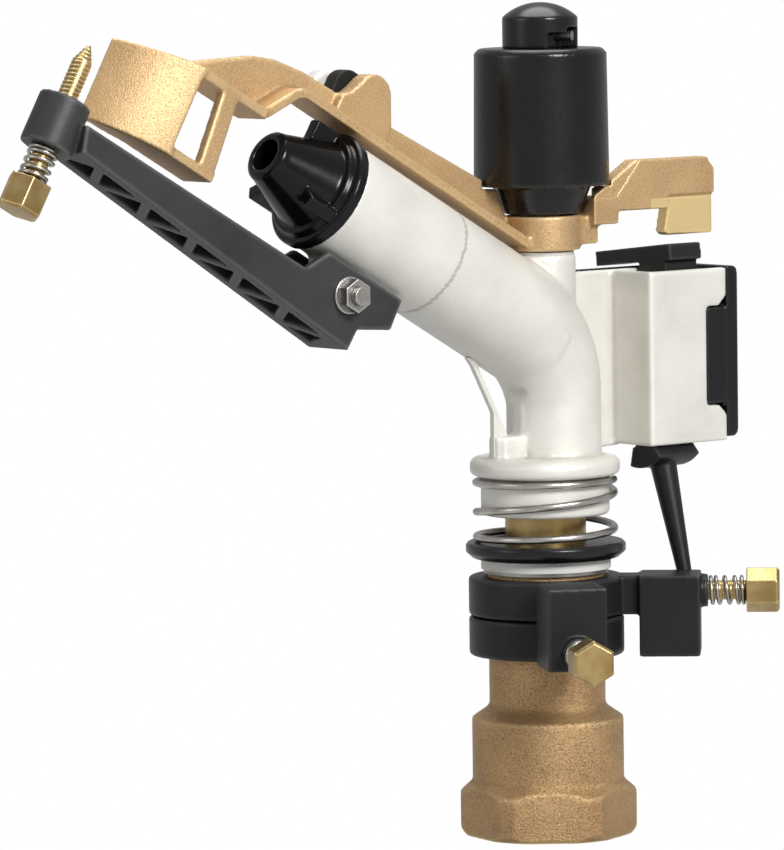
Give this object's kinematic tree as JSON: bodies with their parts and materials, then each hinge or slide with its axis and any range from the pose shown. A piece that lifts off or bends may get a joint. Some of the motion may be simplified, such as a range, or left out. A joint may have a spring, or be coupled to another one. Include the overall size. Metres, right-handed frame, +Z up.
{
  "type": "impulse sprinkler",
  "caption": "Part-circle impulse sprinkler with a sprung drive arm, trip collars and a jet-breaking screw, screwed onto a riser pipe to water an arc",
  "frame": {"origin": "centre of the inlet's thread mouth, on the inlet's bottom face", "axes": "+Z up along the riser and the turning axis; the barrel and its jet point towards -X and up; +X holds the trip housing; -Y is the side that the picture shows"},
  "size_m": [0.2118, 0.0728, 0.2017],
  "materials": {
    "cast_bronze": "sand-cast, matt",
    "cast_aluminium": "fine blasted casting",
    "machined_brass": "machined",
    "black_plastic": "moulded, satin",
    "gloss_black_plastic": "moulded, glossy",
    "white_plastic": "low-friction plastic",
    "stainless_steel": "drawn wire and turned steel",
    "rubber": "moulded"
  },
  "bodies": {
    "base": {"inlet_base": "cast_bronze"},
    "head": {"head_body": "cast_aluminium", "bearing_tube": "machined_brass", "bearing_seal": "rubber", "wear_washer": "stainless_steel", "thrust_washer": "white_plastic", "dust_washer": "black_plastic", "friction_spring": "stainless_steel", "fulcrum_pin": "stainless_steel", "spring_cover": "black_plastic", "cap_button": "black_plastic", "cross_pin": "stainless_steel", "arm_spring": "stainless_steel", "nozzle": "gloss_black_plastic", "nozzle_seal": "rubber", "stream_vane": "white_plastic", "stop_bumper": "rubber", "mechanism_cover": "black_plastic", "cover_screws": "stainless_steel", "lever_pin": "stainless_steel", "pawl_pin": "stainless_steel", "toggle_spring": "stainless_steel", "diffuser_arm": "black_plastic", "diffuser_bolt": "stainless_steel", "diffuser_nut": "stainless_steel", "diffuser_washers": "stainless_steel", "diffuser_screw_spring": "stainless_steel"},
    "drive_arm": {"drive_arm": "cast_bronze", "arm_bush": "machined_brass", "hub_washer": "white_plastic"},
    "trip_lever": {"trip_lever": "black_plastic"},
    "reversing_pawl": {"reversing_pawl": "black_plastic"},
    "upper_collar": {"upper_collar": "black_plastic", "upper_screw_spring": "stainless_steel"},
    "lower_collar": {"lower_collar": "black_plastic", "lower_screw_spring": "stainless_steel"},
    "upper_screw": {"upper_collar_screw": "machined_brass"},
    "lower_screw": {"lower_collar_screw": "machined_brass"},
    "diffuser_screw": {"diffuser_screw": "machined_brass"}
  },
  "joints": [
    {"name": "head_turn", "type": "hinge", "parent": "base", "child": "head", "pos_m": [0, 0, 0.064], "axis": [0, 0, 1], "range_deg": [0, 145]},
    {"name": "arm_swing", "type": "hinge", "parent": "head", "child": "drive_arm", "pos_m": [0, 0, 0.142], "axis": [0, 0, 1], "range_deg": [0, 100], "stiffness_Nm_per_rad": 0.06, "springref_deg": -68.75, "deforming": ["arm_spring"]},
    {"name": "lever_tilt", "type": "hinge", "parent": "head", "child": "trip_lever", "pos_m": [0.031, -0.0048, 0.1], "axis": [1, 0, 0], "range_deg": [0, 32], "deforming": ["toggle_spring"]},
    {"name": "pawl_tilt", "type": "hinge", "parent": "head", "child": "reversing_pawl", "pos_m": [0.03615, -0.0045, 0.131], "axis": [1, 0, 0], "range_deg": [0, 12.5]},
    {"name": "upper_collar_turn", "type": "hinge", "parent": "base", "child": "upper_collar", "pos_m": [0, 0, 0.0584], "axis": [0, 0, 1], "range_deg": [-30, 0]},
    {"name": "lower_collar_turn", "type": "hinge", "parent": "base", "child": "lower_collar", "pos_m": [0, 0, 0.0487], "axis": [0, 0, 1], "range_deg": [-55, 0]},
    {"name": "upper_screw_out", "type": "slide", "parent": "upper_collar", "child": "upper_screw", "axis": [0.7314, -0.682, 0], "range_m": [0, 0.003], "deforming": ["upper_screw_spring"]},
    {"name": "lower_screw_out", "type": "slide", "parent": "lower_collar", "child": "lower_screw", "axis": [-0.4848, -0.8746, 0], "range_m": [0, 0.003], "deforming": ["lower_screw_spring"]},
    {"name": "diffuser_screw_out", "type": "slide", "parent": "head", "child": "diffuser_screw", "axis": [-0.4955, 0, -0.8686], "range_m": [0, 0.006], "deforming": ["diffuser_screw_spring"]}
  ],
  "couplings": [
    {"joint": "pawl_tilt", "follows": "lever_tilt", "ratio": 0.39}
  ]
}
